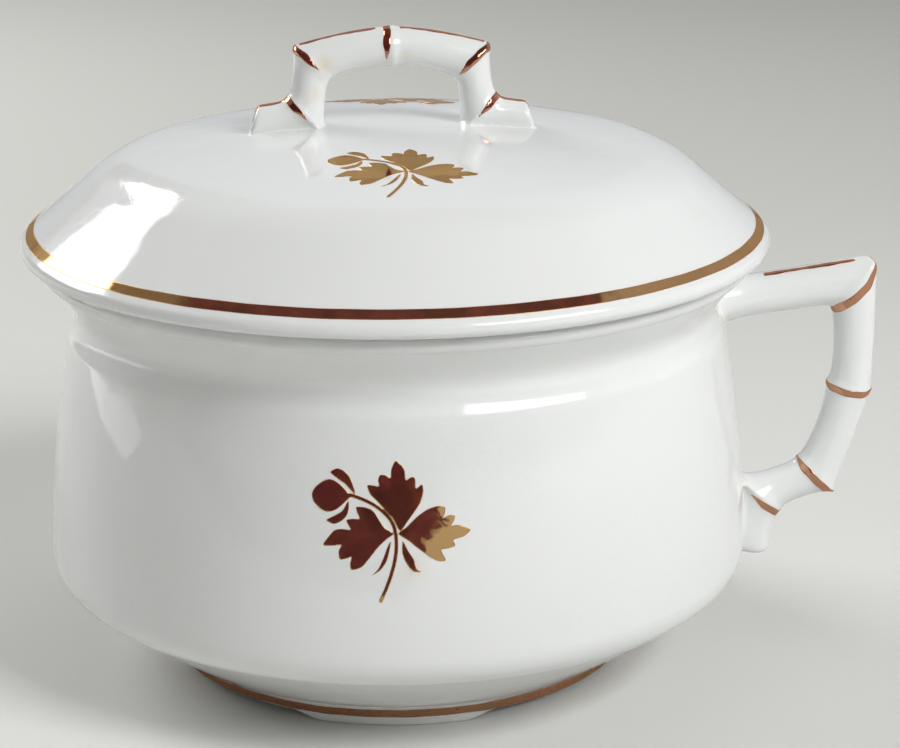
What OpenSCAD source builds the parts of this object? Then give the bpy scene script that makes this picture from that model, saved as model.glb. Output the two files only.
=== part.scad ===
// Lidded chamber pot of white glazed earthenware with cane-shaped handles and copper lustre decoration.
// Millimetres, +Z up, origin on the pot's axis at the plane that it stands on, side handle along +X.

/* [Bowl] */
// Radius of the flat base, where the foot ring is joined on
seat_r = 79.5; // [72:0.5:84]
// Slope of the cone under the belly, from the horizontal
underside_angle = 34.5; // [28:0.5:40]
// Greatest radius of the bowl
belly_r = 114.3; // [110:0.1:120]
// Length of the soft turn from the underside into the wall
heel_round = 6.5; // [5:0.5:14]
// How much smaller the radius is at the shoulder, where the wall turns in to the neck
shoulder_in = 7.9; // [5:0.1:9]
// Height of the shoulder
shoulder_z = 110; // [105:0.5:113]
// How late the wall bends in on its way up, 1 is a straight cone
wall_bow = 1.6; // [1.2:0.05:2]
// How much smaller the radius is at the neck under the lip
neck_in = 10.2; // [9.5:0.1:13]
// Height of the neck above the shoulder
neck_up = 8.3; // [6:0.1:11]
// How much smaller the radius is at the rolled lip
lip_in = 0.1; // [-2:0.1:2.5]
// Height of the lip, the plane that the lid rests on, above the neck
lip_up = 18.1; // [15:0.1:24]
// Radius of the lip's rolled bead
bead_r = 2.5; // [1.8:0.1:3]
// Thickness of the bowl's wall
wall = 6; // [4:0.25:7]
// Thickness of the bowl's floor
floor_t = 7; // [5:0.5:10]

/* [Foot ring] */
// Height of the foot ring
foot_h = 8.5; // [7:0.25:12]
// Step from the flat base in to the foot ring
foot_step = 2.9; // [0.1:0.1:4]
// How much the foot ring draws in on its outside, down to where it stands
foot_taper = 2.3; // [0.5:0.1:4]
// Width of the foot ring where it stands
foot_rim_w = 9; // [6:0.5:12]
// Width of the foot ring where it joins the base
foot_root_w = 13; // [10:0.5:18]
// Height of the four low arches that leave the bracket feet
arch_h = 2.4; // [1:0.1:3]
// Angle that each bracket foot stands on
foot_angle = 35; // [25:1:45]
// How far an arch leans in from its ends to its top
arch_lean = 10; // [4:0.5:14]
// Turn of the bracket feet from the side handle
foot_turn = -5; // [-20:1:20]

/* [Lid] */
// How far the lid stands out over the lip
lid_over = 5.8; // [4.5:0.1:9]
// Radius of the lid's round edge
lid_edge_r = 2.9; // [2:0.1:3.2]
// Height of the middle of that round edge above the lip
lid_edge_up = 3.8; // [3.3:0.1:6]
// Slope of the lid's flank, from the horizontal
flank_angle = 40; // [36:0.5:44]
// Breadth of the flank, from the lid's edge in to the crease at the domed top
flank_w = 29.8; // [25:0.1:35]
// Length of the soft turn at that crease
crease_round = 9; // [4:0.5:14]
// Rise of the domed top from the crease to the middle
dome_rise = 9.6; // [6:0.1:14]
// Thickness of the lid
lid_wall = 6.5; // [4.5:0.25:8]
// Depth of the locating flange below the lip
flange_drop = 9; // [5:0.5:12]
// Thickness of the locating flange
flange_t = 4.3; // [3:0.1:6]
// Room all round between the flange and the inside of the bowl
flange_clear = 1.2; // [0.6:0.1:3]

/* [Side handle] */
// Radius of a cane at its nodes
cane_node_r = 7.6; // [6.5:0.1:8.5]
// Radius of a cane at its waist
cane_waist_r = 7; // [6:0.1:8]
// Length over which a cane swells towards a node, on both handles
node_swell = 7; // [4:0.5:7.5]
// Radius of the upper cane where it flares into the wall
root_r = 10; // [8.5:0.1:11.5]
// Height above the shoulder at which the upper cane meets the wall
root_up = 4; // [2:0.5:7]
// Height of the upper corner above the root
corner_up = 6.6; // [2:0.1:8]
// Distance of the upright canes from the belly
handle_reach = 36; // [30:0.5:42]
// How much nearer the upper corner lies than the middle node
corner_in = -0.4; // [-2:0.1:4]
// Depth of the middle node below the root
middle_down = 29.8; // [24:0.1:33]
// Depth of the lower corner below the root
elbow_down = 60.6; // [56:0.1:62]
// How much nearer the lower corner lies than the middle node
elbow_in = 10; // [6:0.1:14]
// Depth below the root of the node on the wall
attach_down = 66.5; // [65:0.1:71]
// Distance of that node's middle from the wall
attach_off = 7.1; // [5:0.1:7.3]
// Depth below the root of the stub's end
stub_down = 86.5; // [81:0.1:89]
// How much nearer the stub's end lies than the node on the wall
stub_in = 3.3; // [1:0.1:6]
// How far the two upright canes bow out at the middle of their length
side_bow = 0.9; // [0:0.1:2]

/* [Lid handle] */
// Radius of a cane at its nodes
grip_node_r = 6.6; // [5.5:0.1:7.5]
// Radius of the two upper canes at their waists
grip_waist_r = 6; // [5:0.1:7]
// How far those two canes bow up at the middle of their length
grip_bow = 1.2; // [0:0.1:2]
// Radius of a leg at its waist
leg_waist_r = 5.5; // [4.5:0.1:6.5]
// Height of the middle of the grip above the top of the lid
grip_up = 24.1; // [21:0.1:28]
// How much lower the grip's corners lie
grip_arch = 4.6; // [1:0.1:6]
// Distance of each upper corner from the middle
grip_half = 24.4; // [22:0.1:28]
// How much further out the legs stand at the bottom
leg_splay = 2.6; // [0:0.1:4]
// Height of the nodes above the feet
ankle_up = 3.8; // [3:0.1:7]
// Distance of each foot's end from the middle
toe_half = 44.2; // [40:0.1:52]
// Height of the middle of a foot above the lid
toe_up = 2.8; // [1.5:0.1:4]
// Radius of a foot, less than that of a leg
toe_r = 5.2; // [4.5:0.1:5.9]
// Slant of a foot's end face
toe_slant = 24; // [0:1:30]

/* [Copper lustre] */
// Thickness of the fired film
film = 0.2; // [0.1:0.05:0.4]
// Gap under the film
film_gap = 0.03; // [0.02:0.01:0.06]
// Width of the band round the lid
rim_band_w = 3.5; // [1.5:0.1:5]
// Distance of that band from the lid's round edge, along the flank
rim_band_in = 1.3; // [0.2:0.1:4]
// Width of the band round the foot
foot_band_w = 3.4; // [1.5:0.1:4]
// Height of the bottom of that band
foot_band_z = 3.2; // [3.1:0.1:4]
// Width of the rings on the handles
ring_w = 2.9; // [1.5:0.1:4]
// Angle that a ring reaches round a cane, to either side of its outside
ring_half = 120; // [60:15:120]
// Height of a sprig, from the end of its stem to the tip of its top leaf
sprig_h = 41.2; // [34:0.2:46]
// Depth below the shoulder of the point where a sprig's leaves meet
sprig_down = 33; // [25:0.5:40]
// Turn of the bowl's sprigs about the pot's axis
sprig_turn = -3.6; // [-15:0.1:15]
// Distance on the lid from the crease in to the point where a sprig's leaves meet
lid_sprig_in = 29.6; // [26:0.1:36]
// Width of a sprig's stem
stem_w = 1.1; // [0.5:0.05:1.5]

/* [Hidden] */
$fn = 96;
white = [0.93, 0.94, 0.93];
copper = [0.48, 0.24, 0.17];
curve_steps = 6;
cane_sides = 24;
facet = 360 / cane_sides;
cap_rings = 4;
feet_count = 4;
luting_gap = 0.05;

// Curves and outlines as lists of points
function bezier2(a, b, c, n) =
  [for (i = [0 : n]) let (t = i / n) a * pow(1 - t, 2) + 2 * b * t * (1 - t) + c * t * t];
function bezier3(a, b, c, d, n) = [
  for (i = [0 : n])
    let (t = i / n, s = 1 - t)
      a * pow(s, 3) + 3 * b * s * s * t + 3 * c * s * t * t + d * pow(t, 3)
];
function arc(centre, r, from, to, n) =
  [for (i = [0 : n]) let (a = from + (to - from) * i / n) centre + r * [cos(a), sin(a)]];
function unit(v) = v / norm(v);
function left_of(v) = [-v.y, v.x];
function skip_first(p) = [for (i = [1 : len(p) - 1]) p[i]];
function backwards(p) = [for (i = [len(p) - 1 : -1 : 0]) p[i]];
// Points moved to the left of the way the list runs
function beside(p, d) = [
  for (i = [0 : len(p) - 1])
    let (
      last = len(p) - 1,
      into = unit(p[max(i, 1)] - p[max(i, 1) - 1]),
      out = unit(p[min(i + 1, last)] - p[min(i, last - 1)]),
      way = unit(into + out)
    ) p[i] + left_of(way) * d / (way * into)
];
function z_at(p, r) = lookup(r, [for (q = p) [q.x, q.y]]);
function r_at(p, z) = lookup(z, [for (q = p) [q.y, q.x]]);

// Outline of the bowl's outside, from the base up to the lip
shoulder_r = belly_r - shoulder_in;
neck_r = belly_r - neck_in;
neck_z = shoulder_z + neck_up;
lip_r = belly_r - lip_in;
lip_z = neck_z + lip_up;
base_point = [seat_r, foot_h];
heel_corner = [belly_r, foot_h + (belly_r - seat_r) * tan(underside_angle)];
belly_z = heel_corner.y + heel_round;
wall_h = shoulder_z - belly_z;
heel = bezier2(
  heel_corner - heel_round * [cos(underside_angle), sin(underside_angle)],
  heel_corner, [belly_r, belly_z], curve_steps
);
side = [
  for (i = [1 : curve_steps])
    let (t = i / curve_steps) [belly_r - (belly_r - shoulder_r) * pow(t, wall_bow), belly_z + wall_h * t]
];
shoulder_way = unit([-(belly_r - shoulder_r) * wall_bow, wall_h]);
neck_turn = (neck_z - shoulder_z) / 2;
bead_start = -70;
bead_middle = [lip_r - bead_r, lip_z - bead_r];
bead = arc(bead_middle, bead_r, bead_start, 90, curve_steps);
neck_low = bezier3(
  [shoulder_r, shoulder_z], [shoulder_r, shoulder_z] + neck_turn * shoulder_way,
  [neck_r, neck_z - neck_turn], [neck_r, neck_z], curve_steps
);
neck_high = bezier3(
  [neck_r, neck_z], [neck_r, neck_z + neck_turn],
  bead[0] - neck_turn * [1, 1], bead[0], curve_steps
);
bowl_wall = concat([base_point], heel, side, skip_first(neck_low), skip_first(neck_high));
bowl_outside = concat(bowl_wall, skip_first(bead));

// Outline of the bowl's inside, from the lip down to the floor
inside_wall = beside(bowl_wall, wall);
floor_z = foot_h + floor_t;
floor_r = inside_wall[0].x + (floor_z - inside_wall[0].y) / tan(underside_angle);
mouth_r = inside_wall[len(inside_wall) - 1].x;
bowl_inside = concat(
  [[mouth_r, lip_z]], backwards([for (p = inside_wall) if (p.y > floor_z && p.y < lip_z) p]),
  [[floor_r, floor_z]]
);

// Outline of the lid's top, from the middle out to the round edge
lid_r = lip_r + lid_over;
crease_r = lid_r - flank_w;
edge_middle = [lid_r - lid_edge_r, lip_z + lid_edge_up];
flank_way = [cos(flank_angle), -sin(flank_angle)];
flank_up = left_of(flank_way);
flank_end = edge_middle + lid_edge_r * flank_up;
crease = [crease_r, flank_end.y + (flank_end.x - crease_r) * tan(flank_angle)];
top_z = crease.y + dome_rise;
function dome(r) = [r, top_z - dome_rise * pow(r / crease_r, 2)];
dome_end = crease_r - crease_round;
dome_steps = 2 * curve_steps;
lid_top = concat(
  [for (i = [0 : dome_steps - 1]) dome(dome_end * i / dome_steps)],
  bezier2(dome(dome_end), crease, crease + crease_round * flank_way, curve_steps)
);
lid_flank = concat(lid_top, [flank_end]);
lid_edge = arc(edge_middle, lid_edge_r, 90 - flank_angle, -90, curve_steps);

// Outline under the lid: the flat seat, then the hollow up to the middle
hollow = [for (p = beside(lid_flank, -lid_wall)) if (p.y > lip_z) p];
seat_out_r = lip_r - bead_r / 2;
seat_in_r = mouth_r - flange_clear;
hollow_low = [seat_in_r, z_at(hollow, seat_in_r)];
lid_under = concat([for (p = hollow) if (p.x < seat_in_r) [max(p.x, 0), p.y]], [hollow_low]);

// Places on the locating flange
flange_z = lip_z - flange_drop;
flange_out_r = min([for (p = bowl_inside) if (p.y > flange_z - bead_r) p.x]) - flange_clear;
flange_in_r = flange_out_r - flange_t;

// Outer radius of the foot ring at its top and where it stands
foot_top_r = seat_r - foot_step;
foot_low_r = foot_top_r - foot_taper;

// Nodes of the side handle in its own upright plane, x outward and y up
root_z = shoulder_z + root_up;
handle_out = belly_r + handle_reach;
root_point = [r_at(bowl_wall, root_z) - wall / 2, root_z];
corner_point = [handle_out - corner_in, root_z + corner_up];
middle_point = [handle_out, root_z - middle_down];
elbow_point = [handle_out - elbow_in, root_z - elbow_down];
attach_z = root_z - attach_down;
attach_point = [r_at(bowl_wall, attach_z) + attach_off, attach_z];
stub_point = [attach_point.x - stub_in, root_z - stub_down];
side_path = [root_point, corner_point, middle_point, elbow_point, attach_point, stub_point];
side_radii = [root_r, cane_node_r, cane_node_r, cane_node_r, cane_node_r, cane_node_r];
side_waists = [for (i = [1 : len(side_path) - 1]) cane_waist_r];
side_chain = [side_path, side_radii, side_waists, [0, side_bow, side_bow, 0, 0], 0];

// Nodes of the lid handle in its own upright plane, from foot to foot
grip_middle = [0, top_z + grip_up];
grip_corner = [grip_half, top_z + grip_up - grip_arch];
ankle_r = grip_half + leg_splay;
ankle_point = [ankle_r, z_at(lid_top, ankle_r) + ankle_up];
toe_point = [toe_half, z_at(lid_top, toe_half) + toe_up];
grip_half_path = [grip_corner, ankle_point, toe_point];
grip_path = concat([for (p = backwards(grip_half_path)) [-p.x, p.y]], [grip_middle], grip_half_path);
grip_radii = [toe_r, grip_node_r, grip_node_r, grip_node_r, grip_node_r, grip_node_r, toe_r];
grip_waists = [toe_r, leg_waist_r, grip_waist_r, grip_waist_r, leg_waist_r, toe_r];
grip_chain = [grip_path, grip_radii, grip_waists, [0, 0, grip_bow, grip_bow, 0, 0], toe_slant];

// Outline of a sprig as drawn, with the point where its leaves meet at the middle
top_leaf = [
  [1.4, 1.1], [-0.6, 4.7], [-3, 7.4], [-5.4, 10], [-7.1, 11.8], [-8, 14.4], [-6.1, 14.4], [-4.5, 14.2],
  [-4.8, 15.8], [-4.3, 17.4], [-2.7, 17.4], [-1.2, 16.6], [-1, 19], [0.2, 21.5], [1.8, 20.5], [2.9, 18.6],
  [3.2, 15.9], [4.4, 16.6], [5.6, 16.8], [6, 15.4], [6.1, 13.4], [7.9, 14.6], [8.2, 12.3], [7.3, 9.2],
  [5.5, 6.4], [3.6, 3.8]
];
left_leaf = [
  [-0.5, 0.3], [-3.1, 2.1], [-4.8, 4.7], [-6.3, 7.1], [-8.6, 8], [-11.2, 8.1], [-11, 6.6], [-10.3, 4.6],
  [-12.1, 4.6], [-14.1, 4.2], [-13.6, 2.7], [-12.9, 1.3], [-15.3, 1.5], [-17.8, 0.9], [-21, -3.4],
  [-18.4, -3.6], [-15.7, -3.3], [-16.5, -5], [-16.2, -7.5], [-14.4, -7.3], [-12.8, -6.7], [-13.2, -8.8],
  [-12.8, -10.6], [-9.9, -9.7], [-7.7, -7.2], [-4.9, -3.6], [-2.6, -1.4]
];
right_leaf = [
  [0.9, 0.3], [3.2, 2.2], [6.4, 5.3], [9.4, 7.3], [12.2, 8.1], [14.4, 7.7], [14.4, 6], [13.9, 4.6],
  [15.6, 5.3], [17.3, 5], [17, 3.5], [16.3, 2.2], [18.7, 2.2], [21.8, 0.6], [19.9, -1.2], [16.8, -2.1],
  [17.4, -3.8], [15.3, -4.5], [13.2, -4.9], [14.6, -8], [12.3, -8.1], [9.5, -6.5], [6.3, -4], [3.6, -1.7]
];
bud = [
  [-12.9, 11.2], [-15.2, 14], [-17.1, 15.4], [-18.8, 15.9], [-20.8, 15.2], [-22.9, 13.5], [-24, 11.5],
  [-23.6, 9.2], [-21.9, 7.3], [-19.7, 6.3], [-17.5, 6.8], [-15.6, 8.2], [-14, 9.8]
];
upper_sepal = [
  [-11.4, 11.9], [-12.1, 14.5], [-13.2, 17.1], [-14.9, 18.6], [-16.7, 19.1], [-18.6, 17.9],
  [-16.5, 16.1], [-14.3, 14.6], [-12.6, 12.7]
];
lower_sepal = [
  [-13.4, 9.9], [-13.3, 7.7], [-13.9, 5.5], [-15.5, 3.8], [-17.8, 2.8], [-20, 3.9], [-17.6, 5.3],
  [-15.4, 6.7], [-14.4, 8.2]
];
stem_line = concat(
  bezier3([-13.1, 11.5], [-7.5, 10.2], [-0.6, 6.6], [0.1, 0.3], dome_steps),
  skip_first(bezier3([0.1, 0.3], [0.9, -5.4], [-0.6, -11.4], [-4.4, -19.7], dome_steps))
);
left_blade = [
  [-1.2, -1.6], [-1.6, -4.3], [-2.5, -7.7], [-4.4, -10.5], [-7.3, -12.4], [-5.1, -10.2], [-3.5, -6.8],
  [-2.4, -3.8]
];
right_blade = [
  [2.1, -1.6], [3.5, -4.4], [5.3, -7.3], [6, -10], [7.8, -11.3], [5, -10.9], [3.1, -8.5], [2, -5.6]
];
sprig_size = sprig_h / (max([for (p = top_leaf) p.y]) - min([for (p = stem_line) p.y]));
sprig_depth = 12;

// A handle is a chain of canes in an upright plane: its path, the radius at each of the path's points, the
// waist and the bow of each cane, and the slant of its two ends. A place on it is u, the cane's number plus
// the share of its length, and an angle a round the cane from the outside of the chain.
function turned_by(v, a) = [v.x * cos(a) - v.y * sin(a), v.x * sin(a) + v.y * cos(a)];
function way(path, i) = unit(path[i + 1] - path[i]);
function cane_length(path, i) = norm(path[i + 1] - path[i]);
// Direction square to the cut at a point of a path: a mitre at a bend, a slanted face at both ends
function cut_way(path, i, slant) =
  i == 0 ? turned_by(way(path, 0), -slant)
  : i == len(path) - 1 ? turned_by(way(path, i - 1), slant)
  : unit(way(path, i - 1) + way(path, i));
// Direction along the cut at point i, as long as the cut of cane k is wider than the cane
function cut_line(path, i, k, slant) =
  let (along = left_of(cut_way(path, i, slant))) along / (along * left_of(way(path, k)));
function node_fall(d) = pow(max(0, 1 - d / node_swell), 2);
function chain_point(chain, u, a, grow, share) =
  let (
    path = chain[0],
    radii = chain[1],
    slant = chain[4],
    k = min(floor(u), len(path) - 2),
    t = u - k,
    length = cane_length(path, k),
    waist = chain[2][k],
    bow = 4 * chain[3][k] * t * (1 - t),
    middle = path[k] * (1 - t) + path[k + 1] * t + bow * left_of(way(path, k)),
    line = cut_line(path, k, k, slant) * (1 - t) + cut_line(path, k + 1, k, slant) * t,
    from_start = (radii[k] - waist) * node_fall(t * length),
    from_end = (radii[k + 1] - waist) * node_fall((1 - t) * length),
    r = (waist + from_start + from_end + grow) * share
  ) [middle.x + line.x * r * cos(a), r * sin(a), middle.y + line.y * r * cos(a)];

// Solid chain with closed ends; out moves a point that lies inside the ware on to its surface
module chain_solid(chain, out) {
  last = len(chain[0]) - 1;
  places = concat(
    [for (i = [1 : cap_rings - 1]) [0, i / cap_rings]],
    [for (k = [0 : last - 1], u = cane_rows(chain[0], k)) [u, 1]],
    [for (i = [cap_rings : -1 : 1]) [last, i / cap_rings]]
  );
  rings = len(places);
  points = concat(
    [
      for (w = places, j = [0 : cane_sides - 1])
        out(chain_point(chain, w[0], facet * j, 0, w[1]))
    ],
    [for (u = [0, last]) out(chain_point(chain, u, 0, 0, 0))]
  );
  first_end = rings * cane_sides;
  final_ring = (rings - 1) * cane_sides;
  faces = [
    for (j = [0 : cane_sides - 1])
      let (n = (j + 1) % cane_sides)
        each concat(
          [[first_end, n, j], [first_end + 1, final_ring + j, final_ring + n]],
          [
            for (i = [0 : rings - 2])
              let (a = i * cane_sides, b = a + cane_sides)
                each [[a + j, a + n, b + n], [a + j, b + n, b + j]]
          ]
        )
  ];
  polyhedron(points, faces);
}

// Thin film on a chain over a list of places and a list of angles
module chain_film(chain, places, angles) {
  rows = len(places);
  columns = len(angles);
  layer = rows * columns;
  points = [
    for (grow = [film_gap + film, film_gap], u = places, a = angles)
      chain_point(chain, u, a, grow, 1)
  ];
  sheet = [
    for (i = [0 : rows - 2], j = [0 : columns - 2])
      let (a = i * columns + j, b = a + columns)
        each [[a, a + 1, b + 1], [a, b + 1, b]]
  ];
  end = layer - columns;
  edge = concat(
    [for (j = [0 : columns - 2]) each [[j, j + 1], [end + j + 1, end + j]]],
    [for (i = [0 : rows - 2]) let (a = i * columns, b = a + columns)
      each [[a + columns - 1, b + columns - 1], [b, a]]]
  );
  faces = concat(
    sheet,
    [for (f = sheet) [f[2] + layer, f[1] + layer, f[0] + layer]],
    [for (e = edge) each [[e[1], e[0], e[0] + layer], [e[1], e[0] + layer, e[1] + layer]]]
  );
  polyhedron(points, faces);
}

// Places of the rows of points on cane k, and the places among them that a ring or a stripe covers
near_rows = [ring_w / 2, (ring_w / 2 + node_swell) / 2, node_swell];
function far_rows(n) = [for (d = backwards(near_rows)) n - d];
function cane_rows(path, k) =
  let (n = cane_length(path, k)) [for (d = concat([0], near_rows, [n / 2], far_rows(n))) k + d / n];
function ring_rows(path, i) =
  [i - ring_w / 2 / cane_length(path, i - 1), i, i + ring_w / 2 / cane_length(path, i)];
function waist_rows(path, k) =
  let (n = cane_length(path, k)) [for (d = [node_swell, n / 2, n - node_swell]) k + d / n];
function start_rows(path, k) =
  let (n = cane_length(path, k)) [for (d = concat(near_rows, [n / 2])) k + d / n];
function end_rows(path, k) =
  let (n = cane_length(path, k)) [for (d = concat([n / 2], far_rows(n))) k + d / n];
// Angles that a ring, a stripe on the lid handle and the stripe on the side handle cover, in a cane's facets
ring_angles = [for (a = [-ring_half : facet : ring_half]) a];
grip_stripe_angles = [-facet, 0, facet];
side_stripe_angles = [-2 * facet, -facet];
// Points that lie inside the bowl or the lid, moved on to its surface
out_of_bowl = function (p)
  let (r = norm([p.x, p.y]), w = r_at(bowl_wall, p.z) + luting_gap)
    r < w ? [p.x * w / r, p.y * w / r, p.z] : p;
out_of_lid = function (p) [p.x, p.y, max(p.z, z_at(lid_top, norm([p.x, p.y])) + luting_gap)];

// Solid round body from a half outline
module turned(outline) {
  rotate_extrude()
    polygon(outline);
}
// Thin skin that follows an outline just outside a surface, on the left or on the right of the outline
module skin(outline, side) {
  turned(concat(beside(outline, side * film_gap), backwards(beside(outline, side * (film_gap + film)))));
}

// Flat drawing of a sprig
module sprig() {
  for (
    outline = [
      top_leaf, left_leaf, right_leaf, bud, upper_sepal, lower_sepal, left_blade, right_blade
    ]
  )
    polygon(outline * sprig_size);
  stem = stem_line * sprig_size;
  polygon(concat(beside(stem, stem_w / 2), backwards(beside(stem, -stem_w / 2))));
}
module wall_sprig(turn) {
  reach = belly_r + sprig_depth;
  rotate([0, 0, turn])
    intersection() {
      translate([0, -shoulder_r + sprig_depth, shoulder_z - sprig_down])
        rotate([90, 0, 0])
          linear_extrude(reach - shoulder_r + sprig_depth)
            sprig();
      skin(concat([[belly_r, belly_z]], side), -1);
    }
}
module lid_sprig(turn) {
  rotate([0, 0, turn])
    intersection() {
      translate([0, lid_sprig_in - crease_r, crease.y - sprig_depth])
        linear_extrude(dome_rise + 2 * sprig_depth)
          sprig();
      skin(lid_flank, 1);
    }
}

// Bowl, thrown and turned, with a rolled lip
module pot_bowl() {
  color(white)
    turned(concat([[0, foot_h]], bowl_outside, bowl_inside, [[0, floor_z]]));
}

// Ring under the bowl, with low arches between four bracket feet
module foot_ring() {
  arch_half = foot_low_r * sin((360 / feet_count - foot_angle) / 2);
  color(white)
    difference() {
      turned([
        [foot_low_r - foot_rim_w, 0], [foot_low_r, 0], [foot_top_r, foot_h],
        [foot_top_r - foot_root_w, foot_h]
      ]);
      for (i = [0 : feet_count - 1])
        rotate([0, 0, foot_turn + (i + 0.5) * 360 / feet_count])
          rotate([90, 0, 90])
            linear_extrude(seat_r)
              polygon([
                [-arch_half, -arch_h], [arch_half, -arch_h], [arch_half, 0],
                [arch_half - arch_lean, arch_h], [arch_lean - arch_half, arch_h], [-arch_half, 0]
              ]);
    }
}

// Handle moulded as lengths of cane, luted to the wall at its root and along its stub
module side_handle() {
  color(white)
    chain_solid(side_chain, out_of_bowl);
}

// Lustre band round the foot ring
module foot_band() {
  foot_side = [[foot_low_r, 0], [foot_top_r, foot_h]];
  low = foot_side[0] + (foot_side[1] - foot_side[0]) * foot_band_z / foot_h;
  high = foot_side[0] + (foot_side[1] - foot_side[0]) * (foot_band_z + foot_band_w) / foot_h;
  color(copper)
    skin([low, high], -1);
}

// Lustre rings on the nodes of the side handle
module side_handle_rings() {
  color(copper)
    for (i = [1 : len(side_path) - 2])
      chain_film(side_chain, ring_rows(side_path, i), ring_angles);
}

// Lustre stripe along the top of the side handle, a little to the front
module side_handle_stripe() {
  color(copper)
    chain_film(side_chain, waist_rows(side_path, 0), side_stripe_angles);
}

// Lustre sprig on the front of the bowl
module front_sprig() {
  color(copper)
    wall_sprig(sprig_turn);
}

// Lustre sprig on the back of the bowl
module back_sprig() {
  color(copper)
    wall_sprig(sprig_turn + 180);
}

// Domed lid with a flat seat that rests on the lip
module lid_shell() {
  color(white)
    turned(concat(lid_flank, lid_edge, [[seat_out_r, lip_z], [seat_in_r, lip_z]], backwards(lid_under)));
}

// Ring under the lid that keeps it in place in the mouth
module lid_flange() {
  color(white)
    turned([
      [flange_in_r, flange_z], [flange_out_r, flange_z],
      [flange_out_r, z_at(lid_under, flange_out_r)], [flange_in_r, z_at(lid_under, flange_in_r)]
    ]);
}

// Handle moulded as lengths of cane, luted to the top of the lid
module lid_handle() {
  color(white)
    chain_solid(grip_chain, out_of_lid);
}

// Lustre band round the lid, just above its edge
module lid_rim_band() {
  low = flank_end - rim_band_in * flank_way;
  color(copper)
    skin([low - rim_band_w * flank_way, low], 1);
}

// Lustre rings on the nodes of the lid handle
module lid_handle_rings() {
  color(copper)
    for (i = [1 : len(grip_path) - 2])
      chain_film(grip_chain, ring_rows(grip_path, i), ring_angles);
}

// Lustre stripes along the top of the lid handle and of its feet
module lid_handle_stripes() {
  right_foot = len(grip_path) - 2;
  right_bar = (len(grip_path) - 1) / 2;
  color(copper)
    for (rows = [
      start_rows(grip_path, 0), waist_rows(grip_path, right_bar - 1),
      waist_rows(grip_path, right_bar), end_rows(grip_path, right_foot)
    ])
      chain_film(grip_chain, rows, grip_stripe_angles);
}

// Lustre sprig on the front of the lid
module lid_front_sprig() {
  color(copper)
    lid_sprig(0);
}

// Lustre sprig on the back of the lid
module lid_back_sprig() {
  color(copper)
    lid_sprig(180);
}

pot_bowl();
foot_ring();
side_handle();
foot_band();
side_handle_rings();
side_handle_stripe();
front_sprig();
back_sprig();
lid_shell();
lid_flange();
lid_handle();
lid_rim_band();
lid_handle_rings();
lid_handle_stripes();
lid_front_sprig();
lid_back_sprig();
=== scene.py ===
import math

import bpy
import numpy as np
from mathutils import Matrix, Vector


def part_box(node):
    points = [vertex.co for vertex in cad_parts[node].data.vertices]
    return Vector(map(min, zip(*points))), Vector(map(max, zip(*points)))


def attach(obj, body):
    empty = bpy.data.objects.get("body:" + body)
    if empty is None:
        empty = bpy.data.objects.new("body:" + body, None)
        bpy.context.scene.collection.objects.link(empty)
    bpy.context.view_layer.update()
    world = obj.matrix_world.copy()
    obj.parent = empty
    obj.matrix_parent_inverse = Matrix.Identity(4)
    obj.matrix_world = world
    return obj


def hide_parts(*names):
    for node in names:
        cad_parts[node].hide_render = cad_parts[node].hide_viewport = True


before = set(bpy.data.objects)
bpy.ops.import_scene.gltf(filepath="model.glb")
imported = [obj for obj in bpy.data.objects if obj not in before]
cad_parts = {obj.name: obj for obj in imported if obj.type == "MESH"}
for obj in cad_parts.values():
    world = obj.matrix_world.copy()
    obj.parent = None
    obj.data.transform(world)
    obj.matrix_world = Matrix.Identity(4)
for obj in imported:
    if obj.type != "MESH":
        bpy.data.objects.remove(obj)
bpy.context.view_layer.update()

# Pot bowl: the round body, thrown in white earthenware and turned, with a sloped underside, a waisted
# neck and a rolled lip. It was dipped in a clear glaze, which is bright, slightly wavy and crazed.
MM = 0.001
bowl_low, bowl_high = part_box("pot_bowl")
belly_r = bowl_high.x / MM
base_z = bowl_low.z / MM
lip_z = bowl_high.z / MM
seat_r = 79.5
underside_angle = math.radians(34.5)
underside = np.array([math.cos(underside_angle), math.sin(underside_angle)])
heel_round = 6.5
shoulder_z = 110.0
shoulder = np.array([belly_r - 7.9, shoulder_z])
shoulder_turn = 2.0
wall_bow = 1.6
neck = np.array([belly_r - 10.2, 118.3])
neck_rise = 5.0
lip_r = belly_r - 0.1
bead_r = 2.5
bowl_wall_t = 6.0
floor_z = base_z + 7.0
base_round = 1.2
floor_round = 14.0
white = (0.795, 0.808, 0.803, 1.0)
white_shade = (0.762, 0.779, 0.780, 1.0)
cream = (0.70, 0.57, 0.38, 1.0)
craze_tan = (0.50, 0.43, 0.34, 1.0)
speck_brown = (0.16, 0.10, 0.06, 1.0)
cloud_scale = 16.0
ripple_scale = 34.0
peel_scale = 420.0
drift_scale = 60.0
craze_bend = (0.01, 0.01, 0.01)
craze_scale = 190.0
speck_scale = 55.0
glaze_roughness = 0.045


def curve(*controls, steps=24):
    """Points along the Bezier curve of some control points."""
    share = np.linspace(0.0, 1.0, steps + 1)[:, None]
    level = [np.array(c, float) + 0 * share for c in controls]
    while len(level) > 1:
        level = [a * (1 - share) + b * share for a, b in zip(level, level[1:])]
    return level[0]


def arc(centre, radius, start, end, steps=14):
    """Points along an arc, with its angles in degrees."""
    angles = np.radians(np.linspace(start, end, steps + 1))
    return np.array(centre) + radius * np.column_stack([np.cos(angles), np.sin(angles)])


def joined(*lines):
    """One line of points from several, without points that repeat."""
    points = np.vstack([np.atleast_2d(line) for line in lines])
    apart = np.r_[True, np.linalg.norm(np.diff(points, axis=0), axis=1) > 1e-4]
    return points[apart]


def spread(start, end, steps):
    """Evenly spaced points on the straight line from start to end."""
    share = np.linspace(0.0, 1.0, steps + 1)[:, None]
    return np.array(start) * (1 - share) + np.array(end) * share


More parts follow.
